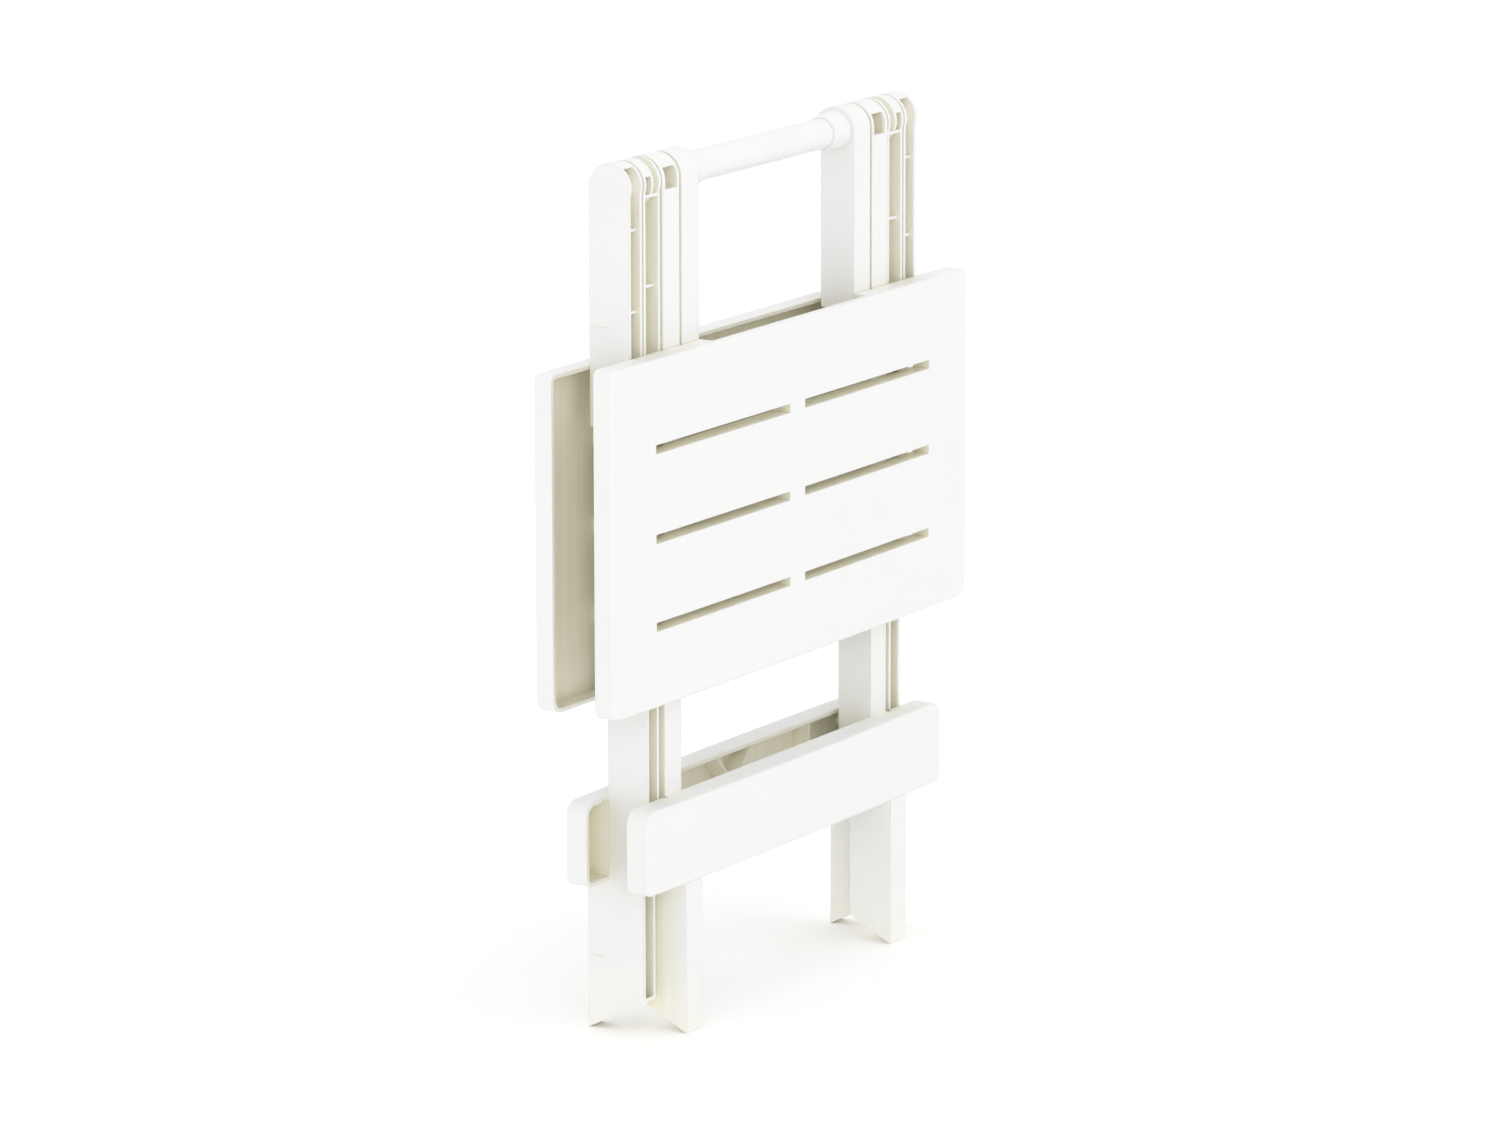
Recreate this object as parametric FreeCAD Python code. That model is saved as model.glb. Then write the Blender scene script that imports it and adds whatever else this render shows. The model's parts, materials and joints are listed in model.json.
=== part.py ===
import FreeCAD, Part

import math
import os

# Folding picnic table, folded flat and standing on its feet.
# X runs along the handle, -Y is the front, +Z is up, millimetres.
# The origin is on the floor, under the middle of the table.
# Every piece is drawn for the +X side and mirrored where it has a twin.

os.makedirs("parts", exist_ok=True)
V = FreeCAD.Vector
X_AXIS = V(1, 0, 0)
Y_AXIS = V(0, 1, 0)

# ---------------------------------------------------------------- main sizes
HUB_Z = 550.4            # handle axis above the floor
LEAN = 27.0              # lean of the legs when the table is fully open, degrees
WALL = 2.6               # moulded wall
WEB = 15.2               # outer face of a leg's or arm's web, from the mid plane
HUB_R = WEB              # rounded tops of the legs and arms
RUN = 0.05               # radial clearance of a turning pin

TOP_HALF_X = 215.0       # half the width of the table top
BACK_SEAM_DROP = 113.8   # inner edge of the back half below the handle axis
FRONT_SEAM_DROP = 106.8  # inner edge of the front half, which is the deeper one
EDGE_DROP = 330.0        # outer edge of both halves below the handle axis
TOP_FACE = 29.0          # outer face of a top half at its ends, from the mid plane
TOP_RIM = 15.6           # rim of its skirt
CROWN = 1.5              # rise of the face at mid width
TOP_INNER_R = 5.0        # corners at the inner edge
TOP_OUTER_R = 9.0        # corners at the outer edge
DECK = 3.0               # thickness of the face

SLOT_RISE = (52.0, 108.5, 166.0)  # slot rows, from the outer edge
SLOT_X0 = 9.0
BACK_SLOT_X1 = 150.0
FRONT_SLOT_X1 = 165.4
SLOT_H = 5.8
SLOT_WALL = 2.0
SLOT_DEPTH = 12.0        # depth of the wall round each slot, from the outer face

BACK_LEG_X = (157.2, 172.4)       # upper stretch of a back leg
BACK_LOW_X = (140.1, 154.2)       # the same leg below its jog
BACK_ARM_X = (136.6, 155.6)
FRONT_LEG_X = (115.8, 135.0)
FRONT_ARM_X = (93.4, 113.4)
BACK_OPEN = 14.3                  # open edge of the back legs' channel
FRONT_OPEN = 10.0                 # open edge of the front legs' channel
BACK_LEG_RIBS = (27.0, 79.0)         # cross ribs in the channels, below the handle axis
BACK_LOW_RIBS = (205.0, 290.0)
FRONT_LEG_RIBS = (24.0, 85.0, 160.0, 330.0)
BACK_ARM_RIB = 65.0
FRONT_ARM_RIBS = (24.0, 68.0)
RIB_INSET = 3.0
RIB_HALF = 1.0
RAIL_RIB_X = 92.0                    # upright ribs of a stretcher
RAIL_RIB_TURN = 40.0                 # slant of its crossed ribs, in degrees
WINDOW = (5.5, 8.0)                  # the front leg's window, below and above the axis
WINDOW_INNER_WALL = 3.4
FORK_DROP = 6.2                      # ledge of the back arm's fork, below the axis
FORK_CAP_RISE = 5.0
FORK_PLATE_HALF = 1.2
HUB_MOUTH = 12.0                     # the back leg's channel is open to this height above it
JOG_DROP = (130.0, 152.0)         # the jog, below the handle axis

RAIL_HALF_X = 179.2      # half the length of a stretcher
RAIL_DROP = (396.0, 451.0)
RAIL_BOW = 2.5
RAIL_FACE = 31.0
FOOT_FACE = 31.0
BACK_FOOT_OPEN = 11.0
FRONT_FOOT_OPEN = 1.0

HUB_PIN_R = 4.0
CROSS_PIN_R = 5.0
TUBE_R = 10.0
TUBE_BORE_R = 7.5
COLLAR_R = 13.3
COLLAR_TIP_R = 11.2
COLLAR_LENGTH = 17.0
# Open, the two leg tops stand as far apart as the two seam drops add up to.
OPEN_SPAN = BACK_SEAM_DROP + FRONT_SEAM_DROP
CROSS_DROP = OPEN_SPAN / 2 / math.sin(math.radians(LEAN))
CROSS_Z = HUB_Z - CROSS_DROP


# ---------------------------------------------------------------- helpers
def box(x0, x1, y0, y1, z0, z1):
    """Box between the given planes; the two Y values may come in either order."""
    low, high = min(y0, y1), max(y0, y1)
    return Part.makeBox(x1 - x0, high - low, z1 - z0, V(x0, low, z0))


def rod(x0, x1, radius, z, y=0.0):
    """Cylinder along X."""
    return Part.makeCylinder(radius, x1 - x0, V(x0, y, z), X_AXIS)


def ring(x0, x1, radius, bore, z):
    return rod(x0, x1, radius, z).cut(rod(x0 - 1, x1 + 1, bore, z))


def post(x, z, y0, y1, radius):
    """Cylinder along Y."""
    low, high = min(y0, y1), max(y0, y1)
    return Part.makeCylinder(radius, high - low, V(x, low, z), Y_AXIS)


def join(shapes):
    whole = shapes[0]
    for shape in shapes[1:]:
        whole = whole.fuse(shape)
    return whole.removeSplitter()


def mirror(shape):
    return shape.mirror(V(0, 0, 0), X_AXIS)


def both_sides(shape):
    return Part.makeCompound([mirror(shape), shape])


def prism(wire, direction):
    return Part.Face(wire).extrude(direction)


def save(name, shape):
    shape.exportStep("parts/" + name + ".step")


def save_pair(name, shape):
    save(name + "_left", mirror(shape))
    save(name + "_right", shape)


def soften(shape, radius, wanted):
    """Round the edges that the test picks out."""
    edges = [edge for edge in shape.Edges if wanted(edge)]
    return shape.makeFillet(radius, edges) if edges else shape


def hub_bar(x0, x1, side, web, open_edge, bottom, radius):
    """Bar with a round top about the handle axis.

    side is +1 with the web at the back and -1 with the web at the front.
    """
    drop = math.sqrt(max(radius ** 2 - open_edge ** 2, 0.0))
    start = V(x0, side * web, HUB_Z)
    crest = V(x0, 0, HUB_Z + radius)
    end = V(x0, -side * open_edge, HUB_Z - drop)
    low_open = V(x0, -side * open_edge, bottom)
    low_web = V(x0, side * web, bottom)
    edges = [Part.Arc(start, crest, end).toShape(),
             Part.makeLine(end, low_open),
             Part.makeLine(low_open, low_web),
             Part.makeLine(low_web, start)]
    return prism(Part.Wire(edges), V(x1 - x0, 0, 0))


def channel(x0, x1, side, open_edge, bottom):
    """U-channel with a closed round top, open on the side away from its web."""
    outer = hub_bar(x0, x1, side, WEB, open_edge, bottom, HUB_R)
    inner = WEB - WALL
    far = -side * (open_edge + 10)
    pocket = rod(x0 + WALL, x1 - WALL, inner, HUB_Z)
    slot = box(x0 + WALL, x1 - WALL, side * inner, far, bottom - 1, HUB_Z)
    return outer.cut(pocket.fuse(slot))


def cut_below(shape, side, face):
    """Trim a foot so that it stands level when its leg leans."""
    slope = math.tan(math.radians(LEAN))
    reach = 80.0
    low = V(0, side * face, 0)
    high = V(0, side * (face - reach), reach * slope)
    below = V(0, side * (face - reach), -60)
    corner = V(0, side * (face + 5), -60)
    edge = V(0, side * (face + 5), -5 * slope)
    wire = Part.makePolygon([edge, low, high, below, corner, edge])
    return shape.cut(prism(wire, V(300, 0, 0)))


# ---------------------------------------------------------------- legs
def foot(x0, x1, side, open_edge):
    """Deeper channel below the stretcher, with a small closing web at the floor."""
    top = HUB_Z - RAIL_DROP[1]
    outer = box(x0, x1, side * FOOT_FACE, -side * open_edge, -5, top)
    outer = cut_below(outer, side, FOOT_FACE)
    pocket = box(x0 + WALL, x1 - WALL, side * (FOOT_FACE - WALL),
                 -side * (open_edge + 10), -60, top - WALL)
    pocket = pocket.fuse(box(x0 + WALL, x1 - WALL, side * (WEB - WALL),
                             -side * (open_edge + 10), top - WALL - 1, top + 1))
    lift = V(0, 0, WALL / math.cos(math.radians(LEAN)))
    pocket.translate(-lift)
    pocket = cut_below(pocket, side, FOOT_FACE)
    pocket.translate(lift)
    pocket = pocket.common(box(x0, x1, -90, 90, -5, top - WALL)).fuse(
        box(x0 + WALL, x1 - WALL, side * (WEB - WALL),
            -side * (open_edge + 10), top - WALL - 1, top + 1))
    return outer.cut(pocket)


def rib(x0, x1, side, open_edge, z, inset):
    """Cross rib inside a channel; inset is how far it stays behind the open edge."""
    return box(x0 + WALL / 2, x1 - WALL / 2, side * (WEB - WALL / 2),
               -side * (open_edge - inset), z - 1.0, z + 1.0)


def screw_places(x_centre):
    """Two screws, one above the other, where a stretcher meets a leg."""
    middle = HUB_Z - (RAIL_DROP[0] + RAIL_DROP[1]) / 2
    return [(x_centre, middle - 14.0), (x_centre, middle + 14.0)]


def drill_rail_screws(leg, side, x_centre):
    for x, z in screw_places(x_centre):
        leg = leg.cut(post(x, z, side * (WEB - WALL - 1), side * (WEB + 1), 2.1))
    return leg


def back_leg():
    x0, x1 = BACK_LEG_X
    low0, low1 = BACK_LOW_X
    jog_top, jog_bottom = HUB_Z - JOG_DROP[0], HUB_Z - JOG_DROP[1]
    upper = channel(x0, x1, 1, BACK_OPEN, jog_bottom)
    rail_bottom = HUB_Z - RAIL_DROP[1]
    lower = box(low0, low1, WEB, -BACK_OPEN, rail_bottom, jog_top)
    lower = lower.cut(box(low0 + WALL, low1 - WALL, WEB - WALL, -BACK_OPEN - 5,
                          rail_bottom - 1, jog_top - WALL))
    bridge = box(low1 - WALL, x0 + WALL, WEB, -BACK_OPEN, jog_bottom, jog_top)
    bridge = bridge.cut(box(low1 - WALL - 1, x0 + WALL + 1, WEB - WALL,
                            -BACK_OPEN - 5, jog_bottom + WALL, jog_top - WALL))
    floor = box(x0, x1, WEB, -BACK_OPEN, jog_bottom, jog_bottom + WALL)
    upper = upper.cut(box(x0 + WALL, x1 - WALL, 0, -HUB_R - 1, HUB_Z - 1, HUB_Z + HUB_MOUTH))
    body = join([upper, lower, bridge, floor, foot(low0, low1, 1, BACK_FOOT_OPEN)])
    body = body.cut(box(low1 - WALL - 1, x0 + WALL + 1, WEB - WALL, -BACK_OPEN - 5,
                        jog_bottom + WALL, jog_top - WALL))
    ribs = [rib(x0, x1, 1, BACK_OPEN, HUB_Z - drop, RIB_INSET) for drop in BACK_LEG_RIBS]
    ribs += [rib(low0, low1, 1, BACK_OPEN, HUB_Z - drop, RIB_INSET) for drop in BACK_LOW_RIBS]
    boss = rod(x0 + WALL / 2, x1 - WALL / 2, 8.0, HUB_Z)
    cross = rod(low0 + WALL / 2, low1 - WALL / 2, 9.0, CROSS_Z)
    body = join([body, boss, cross] + ribs)
    body = body.cut(rod(x0 - 1, x1 - WALL, HUB_PIN_R, HUB_Z))
    body = body.cut(rod(low0 - 1, low1 - WALL, CROSS_PIN_R, CROSS_Z))
    body = drill_rail_screws(body, 1, (low0 + low1) / 2)
    return body.removeSplitter()


def front_leg():
    x0, x1 = FRONT_LEG_X
    rail_bottom = HUB_Z - RAIL_DROP[1]
    upper = channel(x0, x1, -1, FRONT_OPEN, rail_bottom)
    window = box(x0 + WALL, x1 - WINDOW_INNER_WALL, -WEB - 1, 0,
                 HUB_Z - WINDOW[0], HUB_Z + WINDOW[1])
    ribs = [rib(x0, x1, -1, FRONT_OPEN, HUB_Z - drop, RIB_INSET) for drop in FRONT_LEG_RIBS]
    cross = rod(x1 - 12.5, x1 - WALL / 2, 9.0, CROSS_Z)
    body = join([upper.cut(window), foot(x0, x1, -1, FRONT_FOOT_OPEN), cross] + ribs)
    body = body.cut(rod(x0 - 1, x1 + 1, HUB_PIN_R, HUB_Z))
    body = body.cut(rod(x1 - 13.5, x1 + 1, CROSS_PIN_R + RUN, CROSS_Z))
    body = drill_rail_screws(body, -1, (x0 + x1) / 2)
    return body.removeSplitter()


# ---------------------------------------------------------------- stretchers
def bow_face(x, half_x, face, bow):
    """Height of a bowed face at x: face at the ends, face + bow in the middle."""
    radius = (half_x ** 2 + bow ** 2) / (2 * bow)
    return face + bow - radius + math.sqrt(radius ** 2 - x ** 2)


def bowed_slab(half_x, face, bow, rim, z0, z1, spare=0.0):
    """Slab whose outer face bows outwards; drawn for the back.

    spare is how far the slab runs on past half_x, along the same arc.
    """
    end = half_x + spare
    height = bow_face(end, half_x, face, bow)
    left, middle, right = V(-end, height, z0), V(0, face + bow, z0), V(end, height, z0)
    edges = [Part.Arc(left, middle, right).toShape(),
             Part.makeLine(right, V(end, rim, z0)),
             Part.makeLine(V(end, rim, z0), V(-end, rim, z0)),
             Part.makeLine(V(-end, rim, z0), left)]
    return prism(Part.Wire(edges), V(0, 0, z1 - z0))


def rounded_plate(half_x, z0, z1, top_r, bottom_r, y0, y1):
    """Plate in the XZ plane with rounded corners, used to trim outlines."""
    diagonal = math.sqrt(0.5)

    def corner(cx, cz, radius, from_angle):
        points = [V(cx + radius * math.cos(math.radians(a)), y0,
                    cz + radius * math.sin(math.radians(a)))
                  for a in (from_angle, from_angle + 45, from_angle + 90)]
        return Part.Arc(*points).toShape()

    arcs = [corner(half_x - top_r, z1 - top_r, top_r, 0),
            corner(-half_x + top_r, z1 - top_r, top_r, 90),
            corner(-half_x + bottom_r, z0 + bottom_r, bottom_r, 180),
            corner(half_x - bottom_r, z0 + bottom_r, bottom_r, 270)]
    edges = []
    for index, arc in enumerate(arcs):
        edges.append(arc)
        start = arc.Vertexes[-1].Point
        end = arcs[(index + 1) % 4].Vertexes[0].Point
        edges.append(Part.makeLine(start, end))
    return prism(Part.Wire(edges), V(0, y1 - y0, 0))


def outer_rim_edge(face):
    """Test for the long edges round a bowed outer face."""
    def wanted(edge):
        points = [edge.valueAt(edge.FirstParameter),
                  edge.valueAt((edge.FirstParameter + edge.LastParameter) / 2),
                  edge.valueAt(edge.LastParameter)]
        return all(point.y > face - 0.6 for point in points)
    return wanted


def tray(half_x, face, bow, rim, z0, z1, skin, top_r, bottom_r, edge_r):
    """Open tray with a bowed face, a skirt all round and softened outer edges."""
    outer = bowed_slab(half_x, face, bow, rim, z0 - 5, z1 + 5, 5.0)
    outer = outer.common(rounded_plate(half_x, z0, z1, top_r, bottom_r, 0, 90))
    outer = soften(outer, edge_r, outer_rim_edge(face))
    inner = bowed_slab(half_x, face - skin, bow, rim - 5, z0 - 5, z1 + 5, 5.0)
    inner = inner.common(rounded_plate(half_x - WALL, z0 + WALL, z1 - WALL,
                                       max(top_r - WALL, 0.6), bottom_r - WALL, -10, 90))
    return outer.cut(inner)


def stretcher(leg_x):
    """C-section stretcher with screw bosses and crossed ribs; drawn for the back."""
    x_centre = (leg_x[0] + leg_x[1]) / 2
    z0, z1 = HUB_Z - RAIL_DROP[1], HUB_Z - RAIL_DROP[0]
    body = tray(RAIL_HALF_X, RAIL_FACE, RAIL_BOW, WEB, z0, z1, WALL, 9.0, 6.0, 1.6)
    inside = bowed_slab(RAIL_HALF_X - 1, RAIL_FACE - 1, RAIL_BOW, WEB, z0 + 1, z1 - 1)
    bosses = [post(sx * x, z, WEB, 50, 4.6)
              for sx in (-1, 1) for x, z in screw_places(x_centre)]
    bosses = [boss.common(inside) for boss in bosses]
    ribs = []
    for turn in (-1, 1):
        blade = box(-RIB_HALF, RIB_HALF, WEB + RIB_INSET, 50, -60, 60)
        blade.rotate(V(0, 0, 0), Y_AXIS, turn * RAIL_RIB_TURN)
        blade.translate(V(0, 0, (z0 + z1) / 2))
        ribs.append(blade.common(inside))
    outer = leg_x[1] - RIB_HALF
    for x, start in ((-RAIL_RIB_X, WEB + RIB_INSET), (RAIL_RIB_X, WEB + RIB_INSET),
                     (-outer, WEB), (outer, WEB)):
        ribs.append(box(x - RIB_HALF, x + RIB_HALF, start, 50, z0 + 1, z1 - 1).common(inside))
    body = join([body] + bosses + ribs)
    for sx in (-1, 1):
        for x, z in screw_places(x_centre):
            body = body.cut(post(sx * x, z, WEB - 1, WEB + 11, 1.8))
        body = body.cut(box(min(sx * (x_centre + 9), sx * (x_centre + 14)),
                            max(sx * (x_centre + 9), sx * (x_centre + 14)),
                            WEB - 1, WEB + 2.5, z1 - WALL - 0.5, z1 + 1))
    return body


def rail_screws(x_centre):
    """Screws put in from inside the legs' channels; drawn for the back."""
    screws = []
    for sx in (-1, 1):
        for x, z in screw_places(x_centre):
            head = post(sx * x, z, WEB - WALL - 2.2, WEB - WALL, 3.8)
            head = head.cut(box(sx * x - 2.4, sx * x + 2.4, WEB - WALL - 3,
                                WEB - WALL - 1.3, z - 0.5, z + 0.5))
            head = head.cut(box(sx * x - 0.5, sx * x + 0.5, WEB - WALL - 3,
                                WEB - WALL - 1.3, z - 2.4, z + 2.4))
            screws.append(head.fuse(post(sx * x, z, WEB - WALL, WEB + 10, 1.8)))
    return Part.makeCompound(screws)


def turn_to_front(shape):
    """Mirror a piece drawn for the back to the front."""
    return shape.mirror(V(0, 0, 0), Y_AXIS)


# ---------------------------------------------------------------- table top
BACK_SEAM_Z = HUB_Z - BACK_SEAM_DROP
FRONT_SEAM_Z = HUB_Z - FRONT_SEAM_DROP
EDGE_Z = HUB_Z - EDGE_DROP
ARM_SCREW_DROP = (15.0, 35.0)          # below the inner edge of the top half
NOTCH_DEPTH = 12.0
ARM_ROOT = 11.0                        # height of the arm's root at the inner rim
ARM_TAIL_DROP = 44.0                   # the arm's tail under the face
CLIP_WIDTH = 12.0
CLIP_WALL = 2.8
CLIP_SLACK = 0.2
CLIP_STEM = 4.0
CLIP_MOUTH_Y = 4.5                     # the grip is cut off this far past the tube's middle
CLIP_FOOT = 12.0                       # half the height of the clip's foot plate
ARM_PLATE = (17.8, 20.4)               # the tail's web, from the mid plane


def under_face(seam):
    """Space between the skirt's walls, up to the underside of the face."""
    return bowed_slab(TOP_HALF_X - WALL, TOP_FACE - DECK, CROWN, -60,
                      EDGE_Z + WALL, seam - WALL)


def slot_box(x0, x1, z, grow, y0, y1):
    return box(x0 - grow, x1 + grow, y0, y1, z - SLOT_H / 2 - grow, z + SLOT_H / 2 + grow)


def top_half(arm_x, slot_x1, seam, notch):
    """One half of the table top, drawn for the back; seam is the height of its inner edge.

    The inner rim is left out over notch, half its width, to give fingers room at the handle.
    """
    body = tray(TOP_HALF_X, TOP_FACE, CROWN, TOP_RIM, EDGE_Z, seam, DECK,
                TOP_INNER_R, TOP_OUTER_R, 1.8)
    middle = (arm_x[0] + arm_x[1]) / 2
    inside = bowed_slab(TOP_HALF_X - 1, TOP_FACE - 1, CROWN, -5, EDGE_Z, seam)
    bosses = [post(sx * middle, seam - drop, ARM_PLATE[1], 50, 4.6).common(inside)
              for sx in (-1, 1) for drop in ARM_SCREW_DROP]
    slots = [(x0, x1, EDGE_Z + rise) for rise in SLOT_RISE
             for x0, x1 in ((-slot_x1, -SLOT_X0), (SLOT_X0, slot_x1))]
    walls = [slot_box(x0, x1, z, SLOT_WALL, TOP_FACE - SLOT_DEPTH, 50).common(inside)
             for x0, x1, z in slots]
    body = join([body] + bosses + walls)
    for sx in (-1, 1):
        for drop in ARM_SCREW_DROP:
            body = body.cut(post(sx * middle, seam - drop, ARM_PLATE[1] - 1,
                                 ARM_PLATE[1] + 5.5, 1.8))
    for x0, x1, z in slots:
        body = body.cut(slot_box(x0, x1, z, 0.0, 0, 60))
    if notch:
        body = body.cut(box(-notch, notch, 0, TOP_FACE - DECK - 1, seam - NOTCH_DEPTH, seam + 1))
    return body


def arm_tail(arm_x, deep_edge, seam):
    """Stepped tail of an arm under the face, drawn for the back."""
    x0, x1 = arm_x
    top = seam - WALL
    root_bottom = seam - ARM_ROOT
    bottom = seam - ARM_TAIL_DROP
    root = box(x0, x1, -deep_edge, 50, root_bottom, top)
    tail = box(x0, x1, TOP_RIM, 50, bottom, root_bottom)
    body = root.fuse(tail).common(under_face(seam))
    body = body.cut(box(x0 + WALL, x1 - WALL, -60, ARM_PLATE[0], bottom - 1,
                        top - WALL))
    body = body.cut(box(x0 + WALL, x1 - WALL, ARM_PLATE[1], 60, bottom + WALL,
                        top - WALL))
    middle = (x0 + x1) / 2
    for drop in ARM_SCREW_DROP:
        body = body.cut(post(middle, seam - drop, 0, 60, 2.1))
        body = body.cut(post(middle, seam - drop, ARM_PLATE[1], 60, 5.2))
    return body


def arm_screws(arm_x, seam):
    """Screws through an arm's tail into the bosses, drawn for the back."""
    middle = (arm_x[0] + arm_x[1]) / 2
    screws = []
    for sx in (-1, 1):
        for drop in ARM_SCREW_DROP:
            x, z = sx * middle, seam - drop
            head = post(x, z, ARM_PLATE[0] - 1.8, ARM_PLATE[0], 3.6)
            head = head.cut(box(x - 2.2, x + 2.2, ARM_PLATE[0] - 3,
                                ARM_PLATE[0] - 1.0, z - 0.5, z + 0.5))
            head = head.cut(box(x - 0.5, x + 0.5, ARM_PLATE[0] - 3,
                                ARM_PLATE[0] - 1.0, z - 2.2, z + 2.2))
            screws.append(head.fuse(post(x, z, ARM_PLATE[0], ARM_PLATE[1] + 5, 1.8)))
    return Part.makeCompound(screws)


def back_arm():
    """Arm of the back half: a channel with a forked knuckle at the pin."""
    x0, x1 = BACK_ARM_X
    bottom = BACK_SEAM_Z - ARM_ROOT
    fork_z = HUB_Z - FORK_DROP
    middle = (x0 + x1) / 2
    body = channel(x0, x1, 1, BACK_OPEN, bottom)
    body = body.cut(box(x0 + WALL, x1 - WALL, -40, 40, fork_z, HUB_Z + 40))
    body = body.cut(box(x0 - 1, x1 + 1, TOP_RIM - 2.4, 40, bottom - 1, bottom))
    parts = [body,
             box(x0 + WALL / 2, x1 - WALL / 2, WEB, -BACK_OPEN, fork_z - 2.0, fork_z),
             rod(middle - FORK_PLATE_HALF, middle + FORK_PLATE_HALF, HUB_R, HUB_Z),
             ring(middle, x1 - WALL / 2, HUB_R, HUB_R - 2.0, HUB_Z).common(
                 box(middle, x1, -HUB_R, HUB_R, HUB_Z + FORK_CAP_RISE, HUB_Z + HUB_R)),
             rib(x0, x1, 1, BACK_OPEN, HUB_Z - BACK_ARM_RIB, RIB_INSET),
             arm_tail(BACK_ARM_X, BACK_OPEN, BACK_SEAM_Z)]
    body = join(parts)
    return body.cut(rod(x0 - 1, x1 + 1, HUB_PIN_R + RUN, HUB_Z))


def front_arm():
    """Arm of the front half: a closed-topped channel that carries the handle."""
    x0, x1 = FRONT_ARM_X
    bottom = FRONT_SEAM_Z - ARM_ROOT
    body = channel(x0, x1, -1, FRONT_OPEN, bottom)
    parts = [body,
             rib(x0, x1, -1, FRONT_OPEN, HUB_Z - FRONT_ARM_RIBS[0], RIB_INSET),
             rib(x0, x1, -1, FRONT_OPEN, HUB_Z - FRONT_ARM_RIBS[1], RIB_INSET),
             turn_to_front(arm_tail(FRONT_ARM_X, FRONT_OPEN, FRONT_SEAM_Z))]
    body = join(parts)
    return body.cut(rod(x0 - 1, x1 + 1, HUB_PIN_R + RUN, HUB_Z))


def tube_clip():
    """Snap saddle under the back half that grips the handle of the open table."""
    half = CLIP_WIDTH / 2
    z = HUB_Z - OPEN_SPAN
    grip = rod(-half, half, TUBE_R + CLIP_WALL, z)
    stem = box(-half, half, TUBE_R, 50, z - CLIP_STEM, z + CLIP_STEM)
    foot_plate = box(-half, half, 25.0, 50, z - CLIP_FOOT, z + CLIP_FOOT)
    body = grip.fuse(stem).fuse(foot_plate).common(under_face(BACK_SEAM_Z))
    body = body.cut(rod(-CLIP_WIDTH, CLIP_WIDTH, TUBE_R + CLIP_SLACK, z))
    return body.cut(box(-CLIP_WIDTH, CLIP_WIDTH, -30, -CLIP_MOUTH_Y, z - 20, z + 20))


# ---------------------------------------------------------------- handle and pins
def handle_tube():
    half = FRONT_ARM_X[0]
    return rod(-half, half, TUBE_R, HUB_Z).cut(rod(-half - 1, half + 1, TUBE_BORE_R, HUB_Z))


def handle_collar():
    x1 = FRONT_ARM_X[0]
    x0 = x1 - COLLAR_LENGTH
    body = Part.makeCone(COLLAR_TIP_R, COLLAR_R, COLLAR_LENGTH, V(x0, 0, HUB_Z), V(1, 0, 0))
    body = soften(body, 0.8, lambda edge: abs(edge.CenterOfMass.x - x0) < 0.01)
    return body.cut(rod(x0 - 1, x1 + 1, TUBE_R, HUB_Z))


def back_hub_pin():
    """Pin from the back leg's boss through the fork, with a flat head inside."""
    x1 = BACK_LEG_X[1] - WALL
    head = rod(BACK_ARM_X[0] - 1.2, BACK_ARM_X[0] - 0.3, 6.0, HUB_Z)
    return head.fuse(rod(BACK_ARM_X[0] - 0.3, x1, HUB_PIN_R, HUB_Z))


def front_hub_pin():
    return rod(FRONT_ARM_X[0] + 0.5, FRONT_LEG_X[1], HUB_PIN_R, HUB_Z)


def front_hub_clip():
    """Push-on ring that keeps the pin in the front arm's channel."""
    return ring(FRONT_ARM_X[1] - 6.0, FRONT_ARM_X[1] - 4.2, 7.0, HUB_PIN_R, HUB_Z)


def cross_pin():
    head = rod(FRONT_LEG_X[1] - 16.0, FRONT_LEG_X[1] - 12.8, 8.5, CROSS_Z)
    head = soften(head, 1.0, lambda e: abs(e.CenterOfMass.x - FRONT_LEG_X[1] + 16) < 0.01)
    return head.fuse(rod(FRONT_LEG_X[1] - 12.8, BACK_LOW_X[1] - WALL, CROSS_PIN_R, CROSS_Z))


# ---------------------------------------------------------------- every piece
save_pair("back_leg", back_leg())
save_pair("front_leg", front_leg())

rail_x = {"back": (BACK_LOW_X[0] + BACK_LOW_X[1]) / 2,
          "front": (FRONT_LEG_X[0] + FRONT_LEG_X[1]) / 2}
save("back_stretcher", stretcher(BACK_LOW_X))
save("front_stretcher", turn_to_front(stretcher(FRONT_LEG_X)))
save("back_stretcher_screws", rail_screws(rail_x["back"]))
save("front_stretcher_screws", turn_to_front(rail_screws(rail_x["front"])))

save("back_top_half", top_half(BACK_ARM_X, BACK_SLOT_X1, BACK_SEAM_Z, 0))
save("front_top_half", turn_to_front(top_half(FRONT_ARM_X, FRONT_SLOT_X1, FRONT_SEAM_Z,
                                              FRONT_ARM_X[0] - 0.6)))
save_pair("back_arm", back_arm())
save_pair("front_arm", front_arm())
save("back_arm_screws", arm_screws(BACK_ARM_X, BACK_SEAM_Z))
save("front_arm_screws", turn_to_front(arm_screws(FRONT_ARM_X, FRONT_SEAM_Z)))
save("handle_clip", tube_clip())

save("handle_tube", handle_tube())
save_pair("handle_collar", handle_collar())

save_pair("back_hub_pin", back_hub_pin())
save_pair("front_hub_pin", front_hub_pin())
save_pair("crossing_pin", cross_pin())
save("back_hub_washers",
     both_sides(ring(BACK_ARM_X[1] + 0.3, BACK_LEG_X[0], 8.0, HUB_PIN_R, HUB_Z)))
save("front_hub_washers",
     both_sides(ring(FRONT_ARM_X[1] + 0.3, FRONT_LEG_X[0], 8.0, HUB_PIN_R, HUB_Z)))
save("front_hub_clips", both_sides(front_hub_clip()))
save("crossing_washers",
     both_sides(ring(FRONT_LEG_X[1] + 0.4, BACK_LOW_X[0], 9.0, CROSS_PIN_R, CROSS_Z)))
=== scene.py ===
import json
import math

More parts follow.
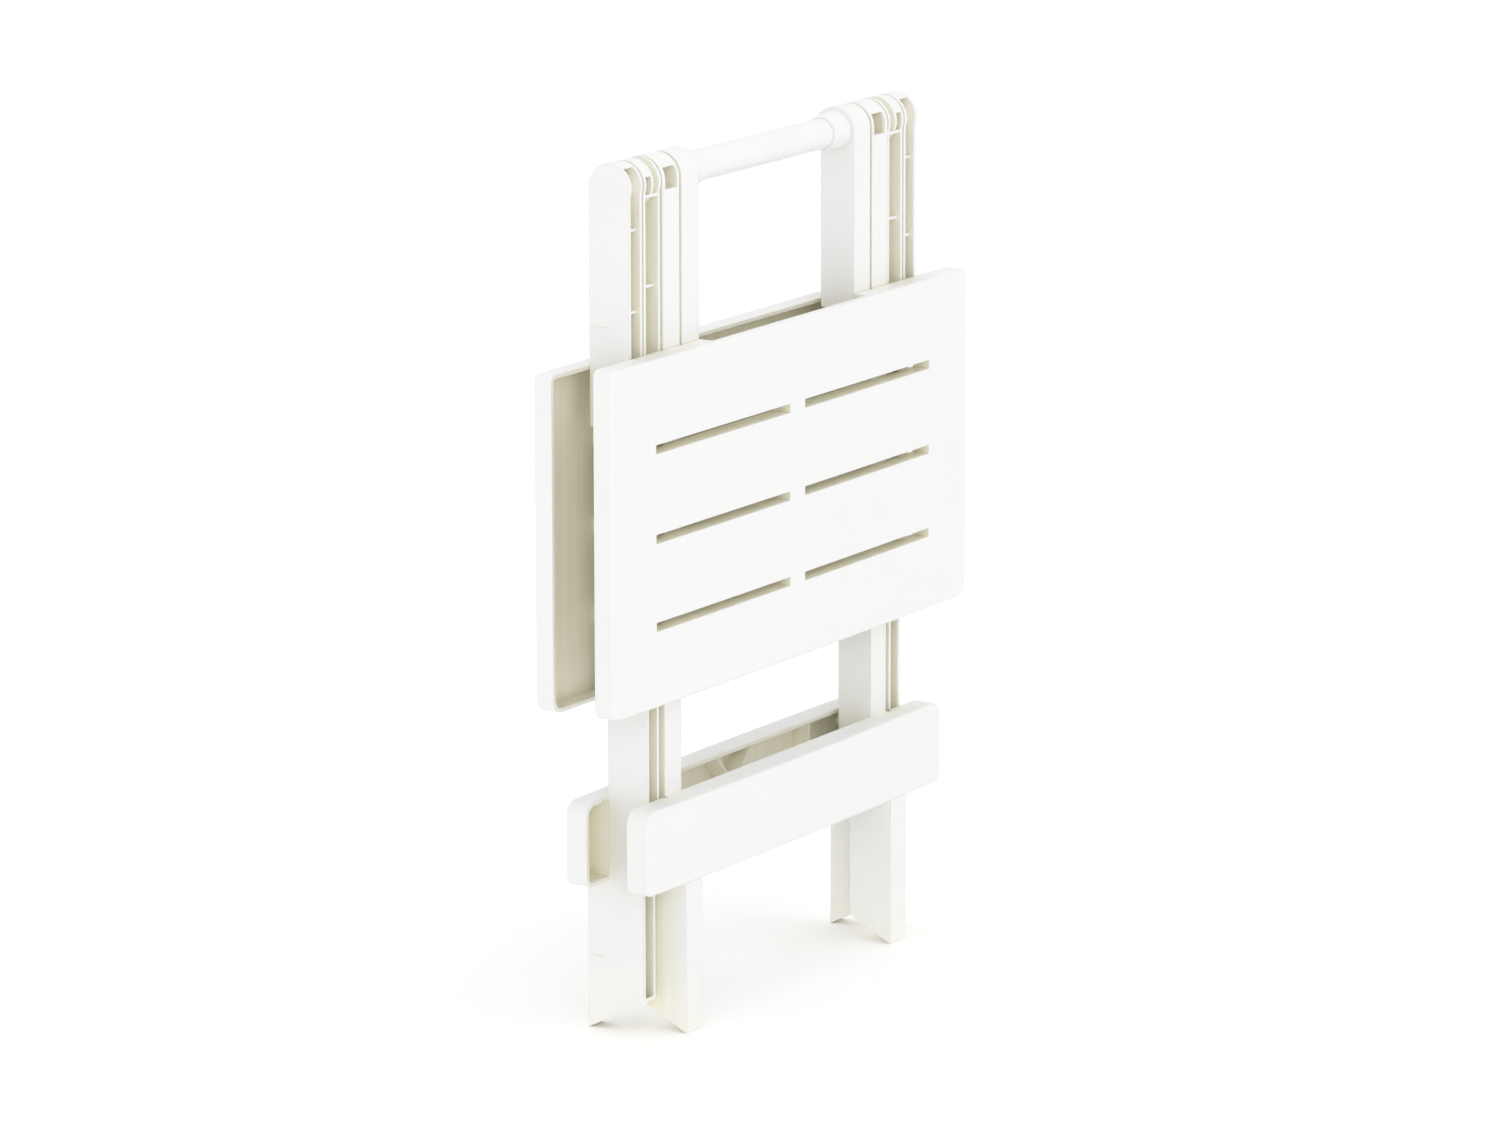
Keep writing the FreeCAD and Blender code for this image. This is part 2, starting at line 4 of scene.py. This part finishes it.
import bmesh
import bpy
from mathutils import Matrix, Vector


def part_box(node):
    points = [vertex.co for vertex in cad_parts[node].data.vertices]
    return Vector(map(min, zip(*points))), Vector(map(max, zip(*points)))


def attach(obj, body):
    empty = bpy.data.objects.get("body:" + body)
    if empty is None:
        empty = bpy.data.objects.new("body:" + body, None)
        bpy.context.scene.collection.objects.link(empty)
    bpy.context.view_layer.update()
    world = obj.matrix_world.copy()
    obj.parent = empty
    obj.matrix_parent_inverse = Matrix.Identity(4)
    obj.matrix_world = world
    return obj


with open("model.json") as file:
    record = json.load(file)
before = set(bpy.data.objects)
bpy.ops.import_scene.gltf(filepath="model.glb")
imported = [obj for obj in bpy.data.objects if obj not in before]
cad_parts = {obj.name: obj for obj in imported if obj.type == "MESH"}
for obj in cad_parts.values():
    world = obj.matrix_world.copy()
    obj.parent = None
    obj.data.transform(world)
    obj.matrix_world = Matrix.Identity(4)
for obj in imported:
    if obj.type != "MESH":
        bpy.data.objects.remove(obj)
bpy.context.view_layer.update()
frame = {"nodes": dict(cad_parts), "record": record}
scene = bpy.context.scene
nodes = frame["nodes"]

# ---------------------------------------------------------------- view and light sizes
CAMERA_AZIMUTH = -57.59      # degrees, 0 looks along +Y
CAMERA_ELEVATION = 12.58
CAMERA_ROLL = -0.08
CAMERA_DISTANCE = 4.660      # metres
CAMERA_TARGET = Vector((-0.0097, 0.0, 0.2814))
LENS = 172.7                 # millimetres on a 36 mm sensor

WHITE = (0.830, 0.831, 0.826)
SHADE = (0.95, 0.92, 0.76)   # painted shade: warm tone painted on the plastic deep inside a channel, where light falls off
PIN_WHITE = (0.80, 0.79, 0.74)
ZINC_DARK, ZINC_PALE = (0.50, 0.50, 0.49), (0.68, 0.68, 0.69)
RECESS_REACH = 0.120         # metres over which a surface looks for shelter, for the painted recess shade
RECESS_SPAN = (0.16, 0.72)   # openness at which plastic is fully painted warm shade, and at which it is fully white
EDGE_ROUNDING = 0.0006
RIPPLE_HEIGHT = 0.0006
GRAIN_HEIGHT = 0.00006


# ---------------------------------------------------------------- materials
class Graph:
    """Small helper that adds and links shader nodes."""

    def __init__(self, name):
        self.material = bpy.data.materials.new(name)
        self.material.use_nodes = True
        self.tree = self.material.node_tree
        self.shader = self.tree.nodes["Principled BSDF"]

    def add(self, kind, links=(), **values):
        node = self.tree.nodes.new(kind)
        for key, value in values.items():
            setattr(node, key, value)
        self.feed(node, links)
        return node

    def feed(self, node, links):
        """Link each socket to its source, or set its constant."""
        for socket, value in links:
            if isinstance(value, bpy.types.NodeSocket):
                self.tree.links.new(value, node.inputs[socket])
            else:
                node.inputs[socket].default_value = value

    def link(self, source, socket):
        self.tree.links.new(source, self.shader.inputs[socket])

    def noise(self, scale, detail=2.0, stretch=(1, 1, 1), roughness=0.5):
        where = self.add("ShaderNodeTexCoord")
        spread = self.add("ShaderNodeMapping", [("Vector", where.outputs["Object"]),
                                                ("Scale", stretch)])
        return self.add("ShaderNodeTexNoise", [("Vector", spread.outputs[0]), ("Scale", scale),
                                               ("Detail", detail), ("Roughness", roughness)])

    def span(self, value, low, high, to_low, to_high):
        node = self.add("ShaderNodeMapRange", [(0, value), (1, low), (2, high),
                                               (3, to_low), (4, to_high)])
        return node.outputs[0]

    def math(self, operation, a, b):
        return self.add("ShaderNodeMath", [(0, a), (1, b)], operation=operation).outputs[0]

    def blend(self, factor, a, b):
        node = self.add("ShaderNodeMix", data_type="RGBA")
        self.feed(node, ((0, factor), (6, a), (7, b)))
        return node.outputs[2]


def rgba(colour, gain=1.0):
    return tuple(channel * gain for channel in colour) + (1.0,)


def moulded_plastic(name, roughness, white=WHITE, edge=EDGE_ROUNDING):
    """White injection-moulded plastic: satin skin, draw marks, and painted warm shade in
    recesses and between parts.
    """
    g = Graph(name)
    # painted shade: an ambient-occlusion mask warms and darkens the plastic in recesses and
    # between parts, where shade falls
    hollow = g.add("ShaderNodeAmbientOcclusion", [("Distance", RECESS_REACH)], samples=12)
    open_air = g.span(hollow.outputs["AO"], *RECESS_SPAN, 0.0, 1.0)
    # draw marks: streaks along the height; they shift and vary the painted recess shade, so they
    # show only where it does
    draw = g.noise(150.0, 3.0, (1.0, 1.0, 0.035))
    marks = g.span(draw.outputs[0], 0.3, 0.7, -0.02, 0.10)
    factor = g.math("ADD", open_air, marks)
    # the painted shade colour, streaked by the draw marks
    painted_shade = g.blend(g.span(draw.outputs[0], 0.35, 0.65, 0.0, 1.0),
                     rgba(SHADE, 0.96), rgba(SHADE, 1.04))
    cloud = g.noise(14.0, 3.0)
    outside = g.blend(g.span(cloud.outputs[0], 0.3, 0.7, 0.0, 1.0),
                      rgba(white, 0.985), rgba(white))
    clamp = g.add("ShaderNodeClamp", [(0, factor)])
    g.link(g.blend(clamp.outputs[0], painted_shade, outside), "Base Color")

    patches = g.noise(55.0, 4.0)
    g.link(g.span(patches.outputs[0], 0.3, 0.7, roughness - 0.05, roughness + 0.07), "Roughness")
    g.shader.inputs["Specular IOR Level"].default_value = 0.42
    g.shader.inputs["IOR"].default_value = 1.49

    rounded = g.add("ShaderNodeBevel", [("Radius", edge)], samples=6)
    skin = g.noise(1500.0, 2.0)
    ripple = g.noise(38.0, 2.0)
    flow = g.add("ShaderNodeBump", [("Strength", 0.25), ("Distance", RIPPLE_HEIGHT),
                                    ("Height", ripple.outputs[0]),
                                    ("Normal", rounded.outputs[0])])
    fine = g.add("ShaderNodeBump", [("Strength", 0.22), ("Distance", GRAIN_HEIGHT),
                                    ("Height", skin.outputs[0]),
                                    ("Normal", flow.outputs[0])])
    g.link(fine.outputs[0], "Normal")
    return g.material


def zinc(name):
    """Zinc-plated screw steel with a fine brushed grain."""
    g = Graph(name)
    grain = g.noise(900.0, 4.0, (1.0, 0.08, 1.0))
    g.link(g.blend(g.span(grain.outputs[0], 0.3, 0.7, 0.0, 1.0),
                   rgba(ZINC_DARK), rgba(ZINC_PALE)), "Base Color")
    g.shader.inputs["Metallic"].default_value = 1.0
    g.link(g.span(grain.outputs[0], 0.3, 0.7, 0.26, 0.44), "Roughness")
    return g.material


finishes = {
    "top_plastic": moulded_plastic("top_plastic", roughness=0.40),
    "frame_plastic": moulded_plastic("frame_plastic", roughness=0.44),
    "handle_plastic": moulded_plastic("handle_plastic", roughness=0.38, edge=0.0010),
    "pin_plastic": moulded_plastic("pin_plastic", white=PIN_WHITE, roughness=0.48),
    "screw_steel": zinc("screw_steel"),
}
slot_of = {piece["node"]: piece["material_slot"] for piece in frame["record"]["subparts"]}


def dress(obj, slot):
    obj.data.materials.clear()
    obj.data.materials.append(finishes[slot])


for name, node in nodes.items():
    dress(node, slot_of[name])


# ---------------------------------------------------------------- moulded details
def new_mesh(name, bm, body, slot):
    mesh = bpy.data.meshes.new(name)
    bmesh.ops.recalc_face_normals(bm, faces=bm.faces)
    bm.to_mesh(mesh)
    bm.free()
    for polygon in mesh.polygons:
        polygon.use_smooth = True
    obj = bpy.data.objects.new(name, mesh)
    scene.collection.objects.link(obj)
    dress(obj, slot)
    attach(obj, body)
    return obj


def ridge(name, centre, along, out, length, width, height, body, slot):
    """Low moulded ridge with round ends, standing out of a face.

    along and out are unit directions: the ridge's length, and away from the face.
    """
    along, out = Vector(along), Vector(out)
    side = along.cross(out)
    turns = 10
    outline = []
    for end in (1, -1):
        for step in range(turns + 1):
            angle = math.pi * (step / turns - 0.5)
            outline.append((end * (length / 2 - width / 2 + width / 2 * math.cos(angle)),
                            end * width / 2 * math.sin(angle)))
    bm = bmesh.new()
    rings = []
    for inset, lift in ((0.0, -0.0002), (0.0, height * 0.45), (0.22, height * 0.85),
                        (0.5, height)):
        ring = []
        for a, s in outline:
            reach = 1 - inset * width / max(length, width)
            point = (Vector(centre) + along * a * reach + side * s * (1 - inset)
                     + out * lift)
            ring.append(bm.verts.new(point))
        rings.append(ring)
    for low, high in zip(rings, rings[1:]):
        for i in range(len(low)):
            j = (i + 1) % len(low)
            bm.faces.new((low[i], low[j], high[j], high[i]))
    bm.faces.new(rings[-1])
    bm.faces.new(list(reversed(rings[0])))
    return new_mesh(name, bm, body, slot)


TICK_LENGTH, TICK_WIDTH, TICK_HEIGHT = 0.0124, 0.0014, 0.0008
TICK_EDGE_GAP, FOOT_TICK_EDGE_GAP = 0.0006, 0.0010   # from a tick's end to the leg's back edge
UPPER_TICK_Z, FOOT_TICK_Z = 0.4625, 0.0480
FOOT_STEP = 0.0182           # how far the lower leg is set in from the upper one
for side, sign in (("left", -1), ("right", 1)):
    low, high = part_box("back_leg_" + side)
    outer_x = max(abs(low.x), abs(high.x))
    web_y = -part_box("back_arm_" + side)[0].y     # the leg's back face above the stretcher
    for name, x, y, z in (
            ("leg_tick_", outer_x, web_y - TICK_EDGE_GAP, UPPER_TICK_Z),
            ("foot_tick_", outer_x - FOOT_STEP, high.y - FOOT_TICK_EDGE_GAP, FOOT_TICK_Z)):
        ridge(name + side, (sign * x, y - TICK_LENGTH / 2, z), (0, 1, 0), (sign, 0, 0),
              TICK_LENGTH, TICK_WIDTH, TICK_HEIGHT, "back_legs", "frame_plastic")


# ---------------------------------------------------------------- floor, light, camera
FLOOR_HALF = 14.0            # metres
FLOOR_DIM, FLOOR_PALE = (0.985, 0.985, 0.985), (1.0, 1.0, 1.0)
WORLD_STRENGTH = 1.0
LIGHT_AIM = (0, 0, 0.28)
LIGHTS = (                   # name, place, size in metres, watts
    ("top", (0.3, -0.6, 3.0), (3.4, 3.4), 9.0),
    ("front", (1.4, -3.2, 1.4), (2.4, 2.0), 5.0),
    ("side", (-2.9, -1.9, 1.2), (2.0, 2.0), 11.0),
)


def floor():
    bm = bmesh.new()
    bmesh.ops.create_grid(bm, x_segments=8, y_segments=8, size=FLOOR_HALF)
    mesh = bpy.data.meshes.new("floor")
    bm.to_mesh(mesh)
    bm.free()
    obj = bpy.data.objects.new("floor", mesh)
    scene.collection.objects.link(obj)
    g = Graph("floor")
    haze = g.noise(2.0, 2.0)
    g.link(g.blend(haze.outputs[0], rgba(FLOOR_DIM), rgba(FLOOR_PALE)), "Base Color")
    g.shader.inputs["Roughness"].default_value = 0.9
    g.shader.inputs["Specular IOR Level"].default_value = 0.1
    obj.data.materials.append(g.material)


def soft_light(name, place, size, power):
    data = bpy.data.lights.new(name, "AREA")
    data.shape = "RECTANGLE"
    data.size, data.size_y = size
    data.energy = power
    obj = bpy.data.objects.new(name, data)
    obj.location = place
    obj.rotation_mode = "QUATERNION"
    obj.rotation_quaternion = (Vector(LIGHT_AIM) - Vector(place)).to_track_quat("-Z", "Y")
    scene.collection.objects.link(obj)


def camera():
    az, el = math.radians(CAMERA_AZIMUTH), math.radians(CAMERA_ELEVATION)
    roll = math.radians(CAMERA_ROLL)
    back = Vector((math.sin(az) * math.cos(el), -math.cos(az) * math.cos(el), math.sin(el)))
    right = Vector((math.cos(az), math.sin(az), 0))
    up = back.cross(right)
    across = right * math.cos(roll) + up * math.sin(roll)
    upward = up * math.cos(roll) - right * math.sin(roll)
    data = bpy.data.cameras.new("camera")
    data.sensor_width = 36.0
    data.lens = LENS
    data.clip_end = 100.0
    obj = bpy.data.objects.new("camera", data)
    turn = Matrix((across, upward, back)).transposed().to_4x4()
    obj.matrix_world = Matrix.Translation(CAMERA_TARGET + back * CAMERA_DISTANCE) @ turn
    scene.collection.objects.link(obj)
    scene.camera = obj


floor()
world = bpy.data.worlds.new("studio")
world.use_nodes = True
background = world.node_tree.nodes["Background"]
background.inputs["Color"].default_value = (1, 1, 1, 1)
background.inputs["Strength"].default_value = WORLD_STRENGTH
scene.world = world
for light in LIGHTS:
    soft_light(*light)
camera()
scene.view_settings.view_transform = "Standard"
scene.view_settings.look = "None"
